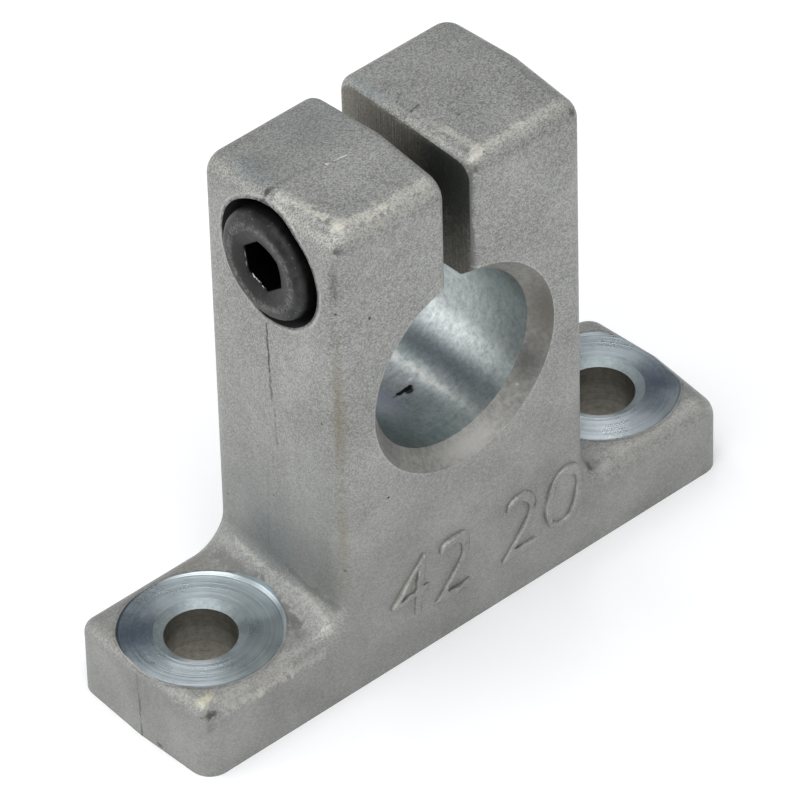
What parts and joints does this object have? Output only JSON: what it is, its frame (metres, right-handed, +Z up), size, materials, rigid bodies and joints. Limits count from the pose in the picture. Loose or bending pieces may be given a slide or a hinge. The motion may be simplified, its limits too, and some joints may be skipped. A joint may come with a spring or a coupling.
{
  "type": "shaft support block",
  "caption": "Cast aluminium block that bolts to a flat surface and holds the end of a round guide shaft in a bore that a clamping screw closes.",
  "frame": {"origin": "middle of the ground face that stands on the machine", "axes": "+X along the foot, away from the clamping screw's head; +Y along the shaft; +Z up from the ground face"},
  "size_m": [0.042, 0.012, 0.035],
  "materials": {
    "cast_aluminium": "tumbled die casting, matt, with turned bright bore and spotfaces",
    "black_steel": "black oxide, satin"
  },
  "bodies": {
    "block": {"support_block": "cast_aluminium"},
    "screw": {"clamp_screw": "black_steel"}
  },
  "joints": [
    {"name": "clamp_screw_turn", "type": "hinge", "parent": "block", "child": "screw", "pos_m": [-0.0106, -0.0003, 0.03025], "axis": [-1, 0, 0], "range_deg": [0, 360]}
  ]
}
